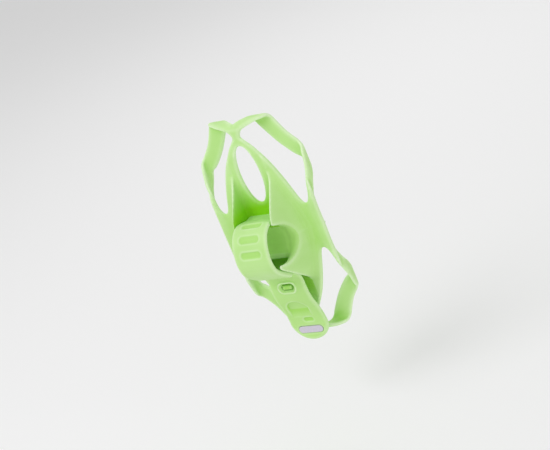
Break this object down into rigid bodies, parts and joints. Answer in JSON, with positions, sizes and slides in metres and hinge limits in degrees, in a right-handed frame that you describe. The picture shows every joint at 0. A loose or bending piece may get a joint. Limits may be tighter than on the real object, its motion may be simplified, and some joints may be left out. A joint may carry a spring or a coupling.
{
  "type": "phone mount",
  "caption": "Soft silicone phone mount: a webbed harness loops over a phone's corners, and a moulded strap holds it on a round handlebar.",
  "frame": {"origin": "centre of the flat back face that the phone's back rests on", "axes": "+X along the handlebar, to the right of someone who faces the phone's screen; +Y from the phone's back to the handlebar; +Z along the phone's long side, upwards"},
  "size_m": [0.077, 0.0468, 0.1557],
  "materials": {
    "silicone": "matte translucent light green silicone",
    "badge": "satin pale grey, slightly lavender"
  },
  "bodies": {
    "hub": {"saddle_block": "silicone", "strap_root": "silicone", "strap_hook": "silicone", "upper_web": "silicone", "upper_neck": "silicone", "lower_web": "silicone", "lower_neck": "silicone", "upper_right_cheek": "silicone", "upper_left_cheek": "silicone", "lower_right_cheek": "silicone", "lower_left_cheek": "silicone", "right_wing": "silicone", "left_wing": "silicone"},
    "strap_top": {"strap_top_link": "silicone"},
    "strap_front": {"strap_front_link": "silicone"},
    "strap_lower": {"strap_lower_link": "silicone"},
    "strap_tail": {"strap_tail": "silicone", "tail_badge": "badge"},
    "upper_right_loop": {"upper_right_branch": "silicone", "upper_right_band": "silicone", "upper_right_wrap": "silicone"},
    "upper_left_loop": {"upper_left_branch": "silicone", "upper_left_band": "silicone", "upper_left_wrap": "silicone"},
    "lower_right_loop": {"lower_right_branch": "silicone", "lower_right_band": "silicone", "lower_right_wrap": "silicone"},
    "lower_left_loop": {"lower_left_branch": "silicone", "lower_left_band": "silicone", "lower_left_wrap": "silicone"}
  },
  "joints": [
    {"name": "strap_open", "type": "hinge", "parent": "hub", "child": "strap_top", "pos_m": [0, 0.00925, 0.01315], "axis": [1, 0, 0], "range_deg": [0, 80], "stiffness_Nm_per_rad": 0.06},
    {"name": "strap_front_unroll", "type": "hinge", "parent": "strap_top", "child": "strap_front", "pos_m": [0, 0.03398, 0.00693], "axis": [1, 0, 0], "range_deg": [0, 40], "stiffness_Nm_per_rad": 0.03},
    {"name": "strap_lower_unroll", "type": "hinge", "parent": "strap_front", "child": "strap_lower", "pos_m": [0, 0.03186, -0.01517], "axis": [1, 0, 0], "range_deg": [0, 48], "stiffness_Nm_per_rad": 0.03},
    {"name": "tail_lift", "type": "hinge", "parent": "strap_lower", "child": "strap_tail", "pos_m": [0, 0.01331, -0.02916], "axis": [1, 0, 0], "range_deg": [0, 60], "stiffness_Nm_per_rad": 0.03},
    {"name": "upper_right_loop_peel", "type": "hinge", "parent": "hub", "child": "upper_right_loop", "pos_m": [0.034, 0, 0.0136], "axis": [-0.3022, 0, 0.9532], "range_deg": [0, 90], "stiffness_Nm_per_rad": 0.02},
    {"name": "upper_left_loop_peel", "type": "hinge", "parent": "hub", "child": "upper_left_loop", "pos_m": [-0.034, 0, 0.0136], "axis": [-0.3022, 0, -0.9532], "range_deg": [0, 90], "stiffness_Nm_per_rad": 0.02},
    {"name": "lower_right_loop_peel", "type": "hinge", "parent": "hub", "child": "lower_right_loop", "pos_m": [0.034, 0, -0.0136], "axis": [0.3022, 0, 0.9532], "range_deg": [0, 90], "stiffness_Nm_per_rad": 0.02},
    {"name": "lower_left_loop_peel", "type": "hinge", "parent": "hub", "child": "lower_left_loop", "pos_m": [-0.034, 0, -0.0136], "axis": [0.3022, 0, -0.9532], "range_deg": [0, 90], "stiffness_Nm_per_rad": 0.02}
  ],
  "couplings": [
    {"joint": "strap_front_unroll", "follows": "strap_open", "ratio": 0.5},
    {"joint": "strap_lower_unroll", "follows": "strap_open", "ratio": 0.6}
  ]
}
